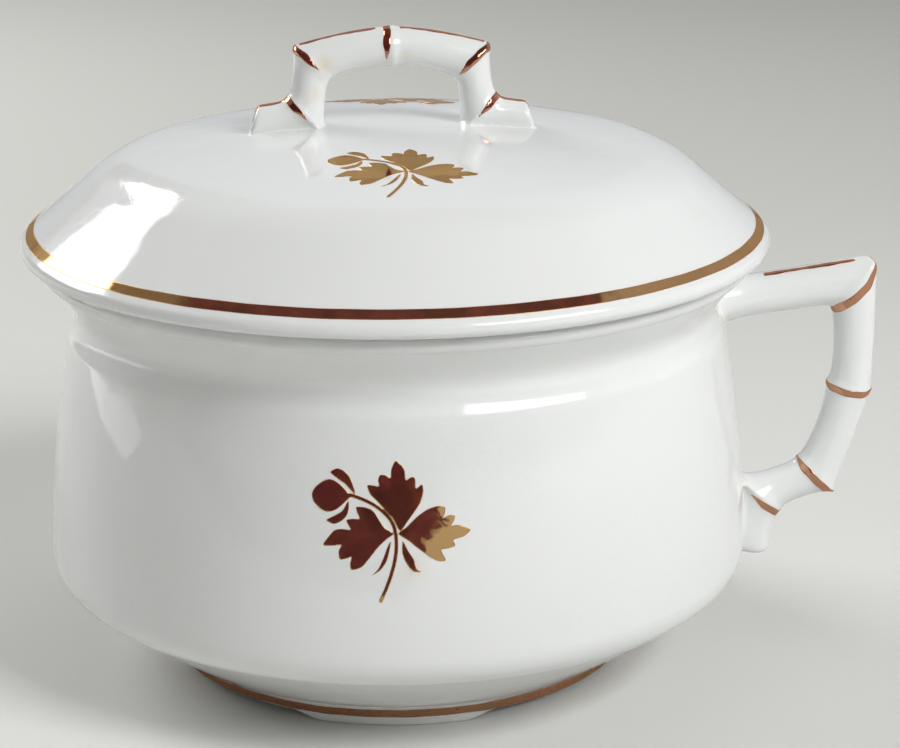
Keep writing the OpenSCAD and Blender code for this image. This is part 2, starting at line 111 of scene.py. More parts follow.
def piece(name, points, faces, material):
    """Object with a smooth mesh, from points in millimetres."""
    mesh = bpy.data.meshes.new(name)
    mesh.from_pydata((np.asarray(points) * MM).tolist(), [], [list(f) for f in faces])
    mesh.shade_smooth()
    mesh.materials.append(material)
    made = bpy.data.objects.new(name, mesh)
    bpy.context.scene.collection.objects.link(made)
    return made


def turned(outline, sides=288, closed=False):
    """Points and faces of a round body from its half outline, which has the clay on its left."""
    turn = np.arange(sides) * 2 * math.pi / sides
    points, rows = [], []
    for r, z in outline:
        if r < 1e-6:
            rows.append([len(points)] * sides)
            points.append((0.0, 0.0, z))
        else:
            rows.append(range(len(points), len(points) + sides))
            points.extend(zip(r * np.cos(turn), r * np.sin(turn), np.full(sides, z)))
    faces = []
    for a, b in zip(rows, rows[1:] + rows[:1] if closed else rows[1:]):
        for i in range(sides):
            j = (i + 1) % sides
            faces.append(list(dict.fromkeys((a[i], a[j], b[j], b[i]))))
    return np.array(points), faces


class Wire:
    """A socket of a material's nodes. Sums and products of wires add Math nodes."""

    def __init__(self, tree, socket=None):
        self.tree = tree
        self.socket = socket

    def node(self, kind, settings=None, sockets=None, out=0):
        made = self.tree.nodes.new(kind)
        for name, value in (settings or {}).items():
            setattr(made, name, value)
        for name, value in (sockets or {}).items():
            if isinstance(value, Wire):
                self.tree.links.new(value.socket, made.inputs[name])
            else:
                made.inputs[name].default_value = value
        return Wire(self.tree, made.outputs[out])

    def output(self, name):
        return Wire(self.tree, self.socket.node.outputs[name])

    def math(self, operation, a, b):
        return self.node("ShaderNodeMath", {"operation": operation}, {0: a, 1: b})

    def step(self, low, high):
        """0 below low and 1 above high, smooth between them."""
        return self.node(
            "ShaderNodeMapRange", {"interpolation_type": "SMOOTHSTEP"},
            {"Value": self, "From Min": low, "From Max": high},
        )

    def mixed(self, first, second):
        """Colour between two colours, with this wire as the share of the second."""
        return self.node(
            "ShaderNodeMix", {"data_type": "RGBA"}, {0: self, 6: first, 7: second}, out=2
        )

    def __add__(self, other):
        return self.math("ADD", self, other)

    def __radd__(self, other):
        return self.math("ADD", other, self)

    def __sub__(self, other):
        return self.math("SUBTRACT", self, other)

    def __rsub__(self, other):
        return self.math("SUBTRACT", other, self)

    def __mul__(self, other):
        return self.math("MULTIPLY", self, other)


def material_with(name, **constants):
    """New material, the wire that starts its nodes, and its shader with constants on sockets."""
    made = bpy.data.materials.new(name)
    made.use_nodes = True
    shader = made.node_tree.nodes["Principled BSDF"]
    for socket, value in constants.items():
        shader.inputs[socket.replace("_", " ")].default_value = value
    return made, Wire(made.node_tree), shader


def feed(shader, **wires):
    """Links wires to a shader's sockets."""
    for socket, wire in wires.items():
        wire.tree.links.new(wire.socket, shader.inputs[socket.replace("_", " ")])


def noise(place, scale, detail, **more):
    """Noise at a place, with its scale in features to the metre."""
    sockets = {"Vector": place, "Scale": scale, "Detail": detail, **more}
    return place.node("ShaderNodeTexNoise", None, sockets)


def white_glaze(name, stains=()):
    """Clear glaze on white ware: faint tone, fine crazing, rare specks and some cream stains.

    A stain is the place that it seeps from and its reach, both in metres, and its strength.
    """
    made, start, shader = material_with(name, Specular_IOR_Level=0.5, IOR=1.5)
    place = start.node("ShaderNodeTexCoord", out="Object")
    cloud = noise(place, cloud_scale, 3.0)
    tone = cloud.step(0.3, 0.75)
    ripple = noise(place, ripple_scale, 1.0)
    peel = noise(place, peel_scale, 1.0)
    drift = noise(place, drift_scale, 2.0).output("Color")
    bent = start.node(
        "ShaderNodeVectorMath", {"operation": "MULTIPLY_ADD"}, {0: drift, 1: craze_bend, 2: place}
    )
    cracks = start.node(
        "ShaderNodeTexVoronoi", {"feature": "DISTANCE_TO_EDGE"}, {"Vector": bent, "Scale": craze_scale}
    )
    crazing = (1 - cracks.step(0.0, 0.04)) * cloud.step(0.45, 0.65)
    dots = start.node("ShaderNodeTexVoronoi", None, {"Vector": place, "Scale": speck_scale})
    chance = start.node("ShaderNodeSeparateColor", None, {"Color": dots.output("Color")})
    specks = (1 - dots.step(0.012, 0.026)) * chance.step(0.93, 0.94)
    colour = (tone * 0.55).mixed(white, white_shade)
    for spot, reach, strength in stains:
        away = start.node(
            "ShaderNodeVectorMath", {"operation": "DISTANCE"}, {0: place, 1: spot}, "Value"
        )
        seep = (1 - (away + ripple * (reach * 0.9)).step(reach * 0.4, reach * 1.5)) * strength
        colour = seep.mixed(colour, cream)
    colour = (crazing * 0.05).mixed(colour, craze_tan)
    colour = (specks * 0.8).mixed(colour, speck_brown)
    height = cloud + ripple * 0.22 + peel * 0.012 - crazing * 0.01 - specks * 0.25
    bump = start.node(
        "ShaderNodeBump", None, {"Strength": 0.35, "Distance": 0.0022, "Height": height}, "Normal"
    )
    roughness = glaze_roughness + crazing * 0.1 + tone * 0.03
    feed(shader, Base_Color=colour, Roughness=roughness, Normal=bump)
    return made


seat_corner = np.array([seat_r, base_z])
seat_turn = seat_corner + base_round * underside
heel_corner = np.array([belly_r, base_z + (belly_r - seat_r) * underside[1] / underside[0]])
heel_start = heel_corner - heel_round * underside
belly_z = heel_corner[1] + heel_round
rise = np.linspace(0.0, 1.0, 33)[:, None]
wall_rise = shoulder_z - belly_z
side_line = np.hstack([
    belly_r - (belly_r - shoulder[0]) * rise ** wall_bow, belly_z + wall_rise * rise
])
shoulder_way = np.array([(shoulder[0] - belly_r) * wall_bow, wall_rise])
shoulder_way /= np.linalg.norm(shoulder_way)
neck_turn = np.array([0.0, (neck[1] - shoulder_z) / 2])
bead_line = arc((lip_r - bead_r, lip_z - bead_r), bead_r, -70, 90)
bowl_outside = joined(
    curve((seat_r - base_round, base_z), seat_corner, seat_turn),
    spread(seat_turn, heel_start, 16),
    curve(heel_start, heel_corner, (belly_r, belly_z)),
    side_line,
    curve(shoulder, shoulder + shoulder_turn * shoulder_way, neck - (0.0, neck_rise), neck),
    curve(neck, neck + neck_turn, bead_line[0] - neck_turn[1], bead_line[0]),
    bead_line,
)


def wall_r(z):
    """Radius of the bowl's outside at a height."""
    return np.interp(z, bowl_outside[:, 1], bowl_outside[:, 0])


way_along = np.gradient(bowl_outside, axis=0)
way_along /= np.linalg.norm(way_along, axis=1)[:, None]
inner = bowl_outside + bowl_wall_t * np.column_stack([-way_along[:, 1], way_along[:, 0]])
mouth_r = inner[-len(bead_line), 0]
above_floor = inner[:, 1] > floor_z + floor_round * underside[1]
inner = inner[above_floor & (inner[:, 1] < lip_z - bead_r)]
inner = inner[: np.argmax(inner[:, 1]) + 1][::-1]
floor_run = (inner[-1, 1] - floor_z) * underside[0] / underside[1]
floor_edge = np.array([inner[-1, 0] - floor_run, floor_z])
bowl_outline = joined(
    spread((0.0, base_z), (seat_r - base_round, base_z), 6), bowl_outside,
    curve((lip_r - bead_r, lip_z), (mouth_r, lip_z), (mouth_r, lip_z - bead_r), steps=10), inner,
    curve(inner[-1], floor_edge, floor_edge - (floor_round, 0.0)),
    spread(floor_edge - (floor_round, 0.0), (0.0, floor_z), 8),
)
handle_stain = ((0.104, -0.006, 0.052), 0.012, 0.75)
sprig_stain = ((-0.002, -0.112, 0.066), 0.006, 0.3)
bowl_glaze = white_glaze("bowl_glaze", [handle_stain, sprig_stain])
bowl = piece("bowl", *turned(bowl_outline), bowl_glaze)
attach(bowl, "pot")
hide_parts("pot_bowl")

# Foot ring: a low ring of the same clay, turned and luted under the bowl. Four shallow arches were cut
# from its lower edge, which leave four bracket feet that the pot stands on.
foot_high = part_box("foot_ring")[1]
foot_top_r = foot_high.x / MM
foot_h = foot_high.z / MM
foot_low_r = foot_top_r - 2.3
foot_rim_w = 9.0
foot_root_w = 13.0
foot_edge_round = 1.1
arch_h = 2.4
arch_lean = 10.0
arch_half = foot_low_r * math.sin(math.radians(27.5))
foot_turn = math.radians(-5)
foot_in_r = foot_low_r - foot_rim_w
foot_root_r = foot_top_r - foot_root_w
foot_outline = joined(
    arc((foot_in_r + foot_edge_round, foot_edge_round), foot_edge_round, 180, 270, 6),
    spread((foot_in_r + foot_edge_round, 0), (foot_low_r - foot_edge_round, 0), 4),
    arc((foot_low_r - foot_edge_round, foot_edge_round), foot_edge_round, -90, 0, 6),
    spread((foot_low_r, foot_edge_round), (foot_top_r, foot_h), 8),
    spread((foot_top_r, foot_h), (foot_root_r, foot_h), 3),
    spread((foot_root_r, foot_h), (foot_in_r, foot_edge_round), 6)[:-1],
)
foot_points, foot_faces = turned(foot_outline, sides=576, closed=True)


def arch_lift(points):
    """How far the arches raise the lower edge of the foot ring."""
    quarter = math.pi / 2
    turn = np.arctan2(points[:, 1], points[:, 0]) - foot_turn
    from_middle = (turn % quarter) - quarter / 2
    inset = np.clip((arch_half - np.abs(foot_low_r * np.sin(from_middle))) / arch_lean, 0, 1)
    return arch_h * inset ** 2 * (3 - 2 * inset)


foot_points[:, 2] += arch_lift(foot_points) * np.clip(1 - foot_points[:, 2] / foot_h, 0, 1)
foot_glaze = white_glaze("foot_glaze")
foot = piece("foot", foot_points, foot_faces, foot_glaze)
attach(foot, "pot")
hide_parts("foot_ring")

# Side handle: lengths of cane moulded in one piece in a two-part mould, with a raised ridge at each
# node. It is luted to the wall at its flared root and along its stub, where slip smooths the joint.
root_r = 9.0
cane_node_r = 7.2
elbow_r = 7.4
attach_r = 7.9
stub_r = 7.4
upper_waist_r = 6.95
cane_waist_r = 6.6
elbow_waist_r = 6.2
waist_power = 2.5
cane_bow = 0.9
cane_ridge = 0.4
ridge_w = 1.5
handle_out = belly_r + 36.0
root_z = shoulder_z + 4.0
attach_z = root_z - 66.5
root_end = (wall_r(root_z) - bowl_wall_t / 2, root_z)
corner_node = (handle_out + 0.4, root_z + 6.6)
middle_node = (handle_out, root_z - 29.8)
elbow_node = (handle_out - 10.0, root_z - 60.6)
attach_node = (wall_r(attach_z) + 7.1, attach_z)
stub_end = (attach_node[0] - 3.3, root_z - 86.5)
side_path = np.array([root_end, corner_node, middle_node, elbow_node, attach_node, stub_end])
side_radii = [root_r, cane_node_r, cane_node_r, elbow_r, attach_r, stub_r]
side_waists = [upper_waist_r, cane_waist_r, cane_waist_r, elbow_waist_r, cane_waist_r]
side_bows = [0.0, cane_bow, cane_bow, 0.0, 0.0]
stub_round = 3.4
root_fillet = 2.4
root_collar = 3.0
foot_fillet = 6.0
foot_collar = 5.5
blunt = 1.22
blunt_round = 1.5
sunk = 0.6
tuck = 2.6
skin_step = 0.75
settle_rounds = 3
nudge = 0.02
flattest = 0.2
longest_move = 0.4


def unit(v):
    """Vector of length 1 in the same direction."""
    return v / np.linalg.norm(v)


def left_of(v):
    """Flat vector turned a quarter to the left."""
    return np.array([-v[1], v[0]])


def cuts_of(path, slant=0.0):
    """Directions square to the mitre at each node of a path, and to its two slanted ends."""
    ways = [unit(b - a) for a, b in zip(path, path[1:])]
    lean = math.tan(math.radians(slant))
    first = unit(ways[0] - lean * left_of(ways[0]))
    final = unit(ways[-1] + lean * left_of(ways[-1]))
    return [first] + [unit(a + b) for a, b in zip(ways, ways[1:])] + [final]


def melt(a, b, soft):
    """Smooth union of two distances."""
    share = np.clip(0.5 + 0.5 * (b - a) / soft, 0, 1)
    return b * (1 - share) + a * share - soft * share * (1 - share)


def cane_gap(points, path, radii, waists, bows, end_round, slant=0.0):
    """Distance to bowed canes on a path in the XZ plane, with ridged nodes and blunt corners."""
    flat = points[:, (0, 2)]
    cuts = cuts_of(path, slant)
    last = len(path) - 2
    nearest = np.full(len(points), np.inf)
    gap = np.full(len(points), np.inf)
    for k in range(last + 1):
        way = unit(path[k + 1] - path[k])
        start = (flat - path[k]) @ cuts[k]
        end = (path[k + 1] - flat) @ cuts[k + 1]
        share = np.clip(start / np.maximum(start + end, 1e-6), 0, 1)
        near = np.where(share < 0.5, radii[k], radii[k + 1])
        radius = waists[k] + (near - waists[k]) * np.abs(2 * share - 1) ** waist_power
        if k > 0:
            radius = radius + cane_ridge * np.exp(-(start / ridge_w) ** 2)
        if k < last:
            radius = radius + cane_ridge * np.exp(-(end / ridge_w) ** 2)
        off = (flat - path[k]) @ left_of(way) - 4 * bows[k] * share * (1 - share)
        reach = np.hypot(off, points[:, 1]) - radius
        if k == 0:
            reach = -melt(-reach, start, end_round)
        if k == last:
            reach = -melt(-reach, end, end_round)
        gate = np.maximum(np.maximum(reach, -start), -end)
        within = np.where(np.minimum(start, end) >= 0, reach, gate)
        gap = np.where(gate < nearest, within, gap)
        nearest = np.minimum(gate, nearest)
    for k in range(1, last + 1):
        before, after = path[k] - path[k - 1], path[k + 1] - path[k]
        if before[0] * after[1] < before[1] * after[0]:
            beyond = (flat - path[k]) @ left_of(cuts[k]) - blunt * radii[k]
            gap = -melt(-gap, -beyond, blunt_round)
    return gap


wall_heights = np.arange(200.0)
wall_slope = np.gradient(wall_r(wall_heights))


def wall_gap(points):
    """Distance from the bowl's outside, below zero in the clay."""
    lean = np.interp(points[:, 2], wall_heights, wall_slope)
    return (np.hypot(points[:, 0], points[:, 1]) - wall_r(points[:, 2])) / np.sqrt(1 + lean ** 2)


def side_handle_gap(points):
    """Distance to the side handle, with fillets where it meets the wall."""
    canes = cane_gap(points, side_path, side_radii, side_waists, side_bows, stub_round)
    wall = wall_gap(points) + sunk
    ends = (attach_z, root_z)
    fillet = np.interp(points[:, 2], ends, (foot_fillet, root_fillet))
    collar = np.interp(points[:, 2], ends, (foot_collar, root_collar))
    return np.maximum.reduce([melt(canes, wall, fillet), canes - collar, -wall - tuck])


def skinned(gap, low, high, step):
    """Points and quads of the surface where gap is zero, with a point in each cell that it cuts."""
    axes = [np.arange(a, b, step) for a, b in zip(low, high)]
    grid = np.stack(np.meshgrid(*axes, indexing="ij"), axis=-1)
    value = gap(grid.reshape(-1, 3)).reshape(grid.shape[:3])
    cells = np.array(value.shape) - 1
    total = np.zeros((*cells, 3))
    count = np.zeros(cells)
    crossings = []
    for axis in range(3):
        low_end = tuple(slice(0, -1) if i == axis else slice(None) for i in range(3))
        high_end = tuple(slice(1, None) if i == axis else slice(None) for i in range(3))
        a, b = value[low_end], value[high_end]
        cut = (a < 0) != (b < 0)
        share = np.where(cut, a / np.where(cut, a - b, 1.0), 0.0)
        place = grid[low_end] + share[..., None] * step * np.eye(3)[axis]
        for shift in np.ndindex(2, 2):
            view = [slice(s, s + n) for s, n in zip(np.insert(shift, axis, 0), cells)]
            view[axis] = slice(None)
            view = tuple(view)
            count += cut[view]
            total += place[view] * cut[view][..., None]
        crossings.append((cut, a < 0))
    number = np.full(cells, -1)
    number[count > 0] = np.arange((count > 0).sum())
    points = total[count > 0] / count[count > 0][:, None]
    faces = []
    for axis, (cut, rising) in enumerate(crossings):
        u, v = (axis + 1) % 3, (axis + 2) % 3
        spots = np.argwhere(cut)
        within = (spots > 0) & (spots < cells)
        spots = spots[within[:, u] & within[:, v]]
        back_u, back_v = np.eye(3, dtype=int)[u], np.eye(3, dtype=int)[v]
        ring = [spots - back_u - back_v, spots - back_v, spots, spots - back_u]
        quads = np.stack([number[tuple(c.T)] for c in ring], axis=1)
        upward = rising[tuple(spots.T)]
        faces.append(np.where(upward[:, None], quads, quads[:, ::-1]))
    for _ in range(settle_rounds):
        slopes = [(gap(points + n) - gap(points - n)) / (2 * nudge) for n in np.eye(3) * nudge]
        slope = np.stack(slopes, axis=-1)
        move = slope * (gap(points) / np.maximum((slope ** 2).sum(1), flattest))[:, None]
        points = points - np.clip(move, -longest_move * step, longest_move * step)
    return points, np.vstack(faces)


handle_low = (side_path[:, 0].min() - 12.0, -17.0, side_path[:, 1].min() - 10.0)
handle_high = (side_path[:, 0].max() + 12.0, 17.0, side_path[:, 1].max() + 14.0)
side_points, side_faces = skinned(side_handle_gap, handle_low, handle_high, skin_step)
root_stain = ((wall_r(root_z) * MM, -0.008, (root_z - 6.0) * MM), 0.007, 0.35)
attach_stain = ((wall_r(attach_z) * MM, -0.007, (attach_z + 8.0) * MM), 0.006, 0.6)
side_handle_glaze = white_glaze("side_handle_glaze", [root_stain, attach_stain])
side_handle = piece("side_cane_handle", side_points, side_faces, side_handle_glaze)
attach(side_handle, "pot")
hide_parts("side_handle")

# Foot band: a line of copper lustre brushed round the foot while the pot was turned on a wheel, and
# fired on at a low heat. The film is far thinner than the glaze, mirror bright, and uneven at its edges.
lustre_proud = 0.05
lustre_sunk = 0.2
foot_band_z = 4.9
foot_band_w = 2.8
foot_band_uneven = 0.22
foot_band_seed = 1.3
band_sides = 720
film_ior = 5.0
film_roughness = 0.03
streak_scale = 260.0
patch_scale = 70.0
film_ripple_scale = 90.0
# The foot band's shine is dimmer than the other lustre's, as painted shade for the shadow under the
# belly.
foot_shine_dimmed_as_shade = (0.60, 0.44, 0.22, 1.0)
maroon = (0.15, 0.026, 0.026, 1.0)
copper = (0.26, 0.050, 0.034, 1.0)
umber = (0.055, 0.014, 0.012, 1.0)
edge_red = (0.36, 0.095, 0.045, 1.0)


def copper_lustre(name, shine):
    """Mirror film of copper: maroon by itself, gold where it reflects light, red at its thin edges."""
    made, start, shader = material_with(name, IOR=film_ior, Specular_Tint=shine)
    place = start.node("ShaderNodeTexCoord", out="Object")
    streaks = noise(place, streak_scale, 4.0, Distortion=0.6)
    patches = noise(place, patch_scale, 2.0)
    rim = start.node("ShaderNodeAttribute", {"attribute_name": "rim"}, out="Fac")
    thin = 1 - (rim + streaks * 0.3).step(0.15, 0.5)
    worn = (streaks * 0.6 + patches * 0.6).step(0.5, 0.74)
    colour = (worn * 0.7).mixed(maroon, copper)
    colour = (patches.step(0.47, 0.6) * 0.65).mixed(colour, umber)
    colour = (thin * 0.8).mixed(colour, edge_red)
    ripple = noise(place, film_ripple_scale, 2.0)
    bump = start.node(
        "ShaderNodeBump", None,
        {"Strength": 0.12, "Distance": 0.0006, "Height": ripple + streaks * 0.12}, "Normal",
    )
    roughness = film_roughness + worn * 0.04 + thin * 0.3
    feed(shader, Base_Color=colour, Roughness=roughness, Normal=bump)
    return made


def normals_of(points, triangles):
    """Unit normal at each point of a triangle mesh."""
    corner = points[triangles]
    face = np.cross(corner[:, 1] - corner[:, 0], corner[:, 2] - corner[:, 0])
    total = np.zeros_like(points)
    for i in range(3):
        np.add.at(total, triangles[:, i], face)
    return total / np.maximum(np.linalg.norm(total, axis=1), 1e-12)[:, None]


def trimmed(points, faces, field):
    """The part of a mesh where field is below zero, cut along its zero line, and its depth inside."""
    faces = np.asarray(faces)
    triangles = np.vstack([faces[:, :3], faces[:, (0, 2, 3)]]) if faces.shape[1] == 4 else faces
    inside = field[triangles] < 0
    count = inside.sum(1)
    kept = [triangles[count == 3]]
    split = {}
    for inner_count in (1, 2):
        odd = triangles[count == inner_count]
        first = np.argmax(inside[count == inner_count] == (inner_count == 1), axis=1)
        rows = np.arange(len(odd))
        split[inner_count] = np.stack([odd[rows, (first + i) % 3] for i in range(3)], axis=1)
    pairs = np.vstack([t[:, p] for t in split.values() for p in ((0, 1), (0, 2))])
    edges, which = np.unique(np.sort(pairs, axis=1), axis=0, return_inverse=True)
    which = which.reshape(-1) + len(points)
    share = field[edges[:, 0]] / (field[edges[:, 0]] - field[edges[:, 1]])
    cut = points[edges[:, 0]] * (1 - share[:, None]) + points[edges[:, 1]] * share[:, None]
    one, two = split[1], split[2]
    to_b, to_c = which[: len(one)], which[len(one): 2 * len(one)]
    kept.append(np.column_stack([one[:, 0], to_b, to_c]))
    to_b, to_c = which[2 * len(one): 2 * len(one) + len(two)], which[2 * len(one) + len(two):]
    kept.append(np.column_stack([to_b, two[:, 1], two[:, 2]]))
    kept.append(np.column_stack([to_b, two[:, 2], to_c]))
    triangles = np.vstack(kept)
    used, triangles = np.unique(triangles, return_inverse=True)
    depth = np.concatenate([-field, np.zeros(len(cut))])[used]
    return np.vstack([points, cut])[used], triangles.reshape(-1, 3), depth


def lustre(name, points, triangles, normals, depth, material):
    """Closed thin film on a surface, whose attribute rim is how far in it lies from the painted edge."""
    n = len(points)
    shell = np.vstack([points + normals * lustre_proud, points - normals * lustre_sunk])
    sides = triangles[:, ((0, 1), (1, 2), (2, 0))].reshape(-1, 2)
    where, times = np.unique(np.sort(sides, axis=1), axis=0, return_index=True, return_counts=True)[1:]
    border = sides[where[times == 1]]
    walls = np.column_stack([border[:, 1], border[:, 0], border[:, 0] + n, border[:, 1] + n])
    faces = triangles.tolist() + (triangles[:, ::-1] + n).tolist() + walls.tolist()
    made = piece(name, shell, faces, material)
    rim = made.data.attributes.new("rim", "FLOAT", "POINT")
    rim.data.foreach_set("value", np.tile(depth, 2).astype(np.float32))
    return made


def waver(turn, seed):
    """Small uneven wave of a brushed edge round the pot, between -1 and 1."""
    waves = ((3, 0.35), (7, 0.25), (16, 0.2), (37, 0.2))
    return sum(np.sin(n * turn + seed * n * n) * share for n, share in waves)


def band(name, line, middle, width, unevenness, seed, material):
    """Lustre band round a turned surface, with its middle and width measured along the outline."""
    points, faces = turned(line, sides=band_sides)
    run = np.r_[0.0, np.cumsum(np.linalg.norm(np.diff(line, axis=0), axis=1))]
    along = np.repeat(run, band_sides)
    turn = np.arctan2(points[:, 1], points[:, 0])
    upper = middle + width / 2 + unevenness * waver(turn, seed)
    lower = middle - width / 2 + unevenness * waver(turn, seed + 2.4)
    field = np.maximum(along - upper, lower - along)
    points, triangles, depth = trimmed(points, faces, field)
    return lustre(name, points, triangles, normals_of(points, triangles), depth, material)


foot_side = spread((foot_low_r, 0.0), (foot_top_r, foot_h), 24)
# Its film reflects with the dimmed shine, which is painted shade.
shaded_foot_lustre = copper_lustre("shaded_foot_lustre", foot_shine_dimmed_as_shade)
foot_band = band(
    "foot_band_lustre", foot_side, foot_band_z, foot_band_w,
    foot_band_uneven, foot_band_seed, shaded_foot_lustre,
)
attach(foot_band, "pot")
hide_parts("foot_band")

# Side handle rings and stripe: lustre painted by hand over the four nodes, widest on the outside of
# each bend, and one long brush stroke on top of the upper cane. It is fired on with the bands.
ring_w = 2.6
stripe_w = 2.3
stripe_turn = math.radians(15)
stripe_start = 19.5
stripe_over = 0.5
ring_taper = 0.9
cane_span = 13.5
off_cane = 9.0
handle_shine = (1.0, 0.60, 0.36, 1.0)
handle_lustre = copper_lustre("handle_lustre", handle_shine)
# Node, width against ring_w, reach round the cane in radians, shift along it and sag on its sides
side_ring_strokes = (
    (1, 1.1, 3.6, 0.6, 2.4),
    (2, 0.95, 3.6, 0.0, 1.3),
    (3, 1.0, 3.3, 0.3, 0.9),
    (4, 0.95, 2.2, 0.4, 1.2),
)


def ring_field(points, path, size, i, wide, reach, shift, sag):
    """Below zero on a ring round node i, which sags on the cane's sides and narrows to its ends."""
    flat = points[:, (0, 2)] - path[i]
    cut = cuts_of(path)[i]
    angle = np.arctan2(np.abs(points[:, 1]), flat @ left_of(cut))
    taper = np.clip((reach - angle) / ring_taper, -0.3, 1)
    middle = shift + sag * np.sin(angle)
    middle = middle - 0.12 * np.sin(3 * angle + i) - 0.1 * np.sin(7 * angle + 2 * i)
    field = np.abs(flat @ cut - middle) - size * wide / 2 * taper
    away = np.hypot(np.linalg.norm(flat, axis=1), points[:, 1])
    return np.where(away < cane_span, field, off_cane)


def stripe_field(points, path, width, turn, k, start, end):
    """Below zero on a stroke along cane k, turned from the outside of the cane towards the front."""
    way = unit(path[k + 1] - path[k])
    along = (points[:, (0, 2)] - path[k]) @ way
    off = (points[:, (0, 2)] - path[k]) @ left_of(way)
    aside = points[:, 1] * math.cos(turn) + off * math.sin(turn)
    half = width / 2 * (0.85 + 0.15 * np.sin(along * 0.35 + k)) + 0.08 * np.sin(along * 1.1)
    field = np.maximum.reduce([np.abs(aside) - half, start - along, along - end])
    return np.where((off > 0) & (off < cane_span), field, off_cane)


def painted(name, points, faces, field, material):
    """Lustre film on the part of a handle where field is below zero."""
    triangles = np.vstack([faces[:, :3], faces[:, (0, 2, 3)]])
    normals = normals_of(points, triangles)
    both, triangles, depth = trimmed(np.hstack([points, normals]), triangles, field)
    normals = both[:, 3:] / np.linalg.norm(both[:, 3:], axis=1)[:, None]
    return lustre(name, both[:, :3], triangles, normals, depth, material)


side_ring_field = np.minimum.reduce(
    [ring_field(side_points, side_path, ring_w, *stroke) for stroke in side_ring_strokes]
)
side_rings = painted("side_handle_ring_lustre", side_points, side_faces, side_ring_field, handle_lustre)
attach(side_rings, "pot")
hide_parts("side_handle_rings")
upper_length = np.linalg.norm(side_path[1] - side_path[0])
side_stripe_field = stripe_field(
    side_points, side_path, stripe_w, stripe_turn, 0, stripe_start, upper_length + stripe_over
)
side_stripe = painted(
    "side_handle_stripe_lustre", side_points, side_faces, side_stripe_field, handle_lustre
)
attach(side_stripe, "pot")
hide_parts("side_handle_stripe")

# Bowl sprigs: a common leaf sprig with three toothed leaves and a bud, brushed by hand in copper lustre
# on the front of the bowl, with a second one on the back. The film follows the wall.
top_leaf = [
    (1.4, 1.1), (-0.6, 4.7), (-3.0, 7.4), (-5.4, 10.0), (-7.1, 11.8), (-8.0, 14.4),
    (-6.1, 14.4), (-4.5, 14.2), (-4.8, 15.8), (-4.3, 17.4), (-2.7, 17.4), (-1.2, 16.6),
    (-1.0, 19.0), (0.2, 21.5), (1.8, 20.5), (2.9, 18.6), (3.2, 15.9), (4.4, 16.6), (5.6, 16.8),
    (6.0, 15.4), (6.1, 13.4), (7.9, 14.6), (8.2, 12.3), (7.3, 9.2), (5.5, 6.4), (3.6, 3.8),
]
left_leaf = [
    (-0.5, 0.3), (-3.1, 2.1), (-4.8, 4.7), (-6.3, 7.1), (-8.6, 8.0), (-11.2, 8.1), (-11.0, 6.6),
    (-10.3, 4.6), (-12.1, 4.6), (-14.1, 4.2), (-13.6, 2.7), (-12.9, 1.3), (-15.3, 1.5),
    (-17.8, 0.9), (-21.0, -3.4), (-18.4, -3.6), (-15.7, -3.3), (-16.5, -5.0), (-16.2, -7.5),
    (-14.4, -7.3), (-12.8, -6.7), (-13.2, -8.8), (-12.8, -10.6), (-9.9, -9.7), (-7.7, -7.2),
    (-4.9, -3.6), (-2.6, -1.4),
]
right_leaf = [
    (0.9, 0.3), (3.2, 2.2), (6.4, 5.3), (9.4, 7.3), (12.2, 8.1), (14.4, 7.7), (14.4, 6.0),
    (13.9, 4.6), (15.6, 5.3), (17.3, 5.0), (17.0, 3.5), (16.3, 2.2), (18.7, 2.2), (21.8, 0.6),
    (19.9, -1.2), (16.8, -2.1), (17.4, -3.8), (15.3, -4.5), (13.2, -4.9), (14.6, -8.0),
    (12.3, -8.1), (9.5, -6.5), (6.3, -4.0), (3.6, -1.7),
]
bud = [
    (-12.9, 11.2), (-15.2, 14.0), (-17.1, 15.4), (-18.8, 15.9), (-20.8, 15.2), (-22.9, 13.5),
    (-24.0, 11.5), (-23.6, 9.2), (-21.9, 7.3), (-19.7, 6.3), (-17.5, 6.8), (-15.6, 8.2),
    (-14.0, 9.8),
]
upper_sepal = [
    (-11.4, 11.9), (-12.1, 14.5), (-13.2, 17.1), (-14.9, 18.6), (-16.7, 19.1), (-18.6, 17.9),
    (-16.5, 16.1), (-14.3, 14.6), (-12.6, 12.7),
]
lower_sepal = [
    (-13.4, 9.9), (-13.3, 7.7), (-13.9, 5.5), (-15.5, 3.8), (-17.8, 2.8), (-20.0, 3.9),
    (-17.6, 5.3), (-15.4, 6.7), (-14.4, 8.2),
]
left_blade = [
    (-1.2, -1.6), (-1.6, -4.3), (-2.5, -7.7), (-4.4, -10.5), (-7.3, -12.4), (-5.1, -10.2),
    (-3.5, -6.8), (-2.4, -3.8),
]
right_blade = [
    (2.1, -1.6), (3.5, -4.4), (5.3, -7.3), (6.0, -10.0), (7.8, -11.3), (5.0, -10.9),
    (3.1, -8.5), (2.0, -5.6),
]
stem_w = 1.1
sprig_grid = 0.36
sprig_z = shoulder_z - 33.0
sprig_turn = math.radians(-3.6)
sprig_low = (-26.0, -22.5)
sprig_high = (23.0, 24.0)
sprig_shine = (0.92, 0.70, 0.28, 1.0)
leaf_bend = 0.35


def leafy(outline, steps=5):
    """Closed outline with soft curves between its points."""
    p = np.array(outline)
    before, after, beyond = np.roll(p, 1, 0), np.roll(p, -1, 0), np.roll(p, -2, 0)
    t = (np.arange(steps) / steps)[None, :, None]
    a, b, c, d = (q[:, None] for q in (before, p, after, beyond))
    m0, m1 = leaf_bend * (c - a), leaf_bend * (d - b)
    spline = (
        b * (2 * t ** 3 - 3 * t ** 2 + 1) + m0 * (t ** 3 - 2 * t ** 2 + t)
        + c * (3 * t ** 2 - 2 * t ** 3) + m1 * (t ** 3 - t ** 2)
    )
    return spline.reshape(-1, 2)


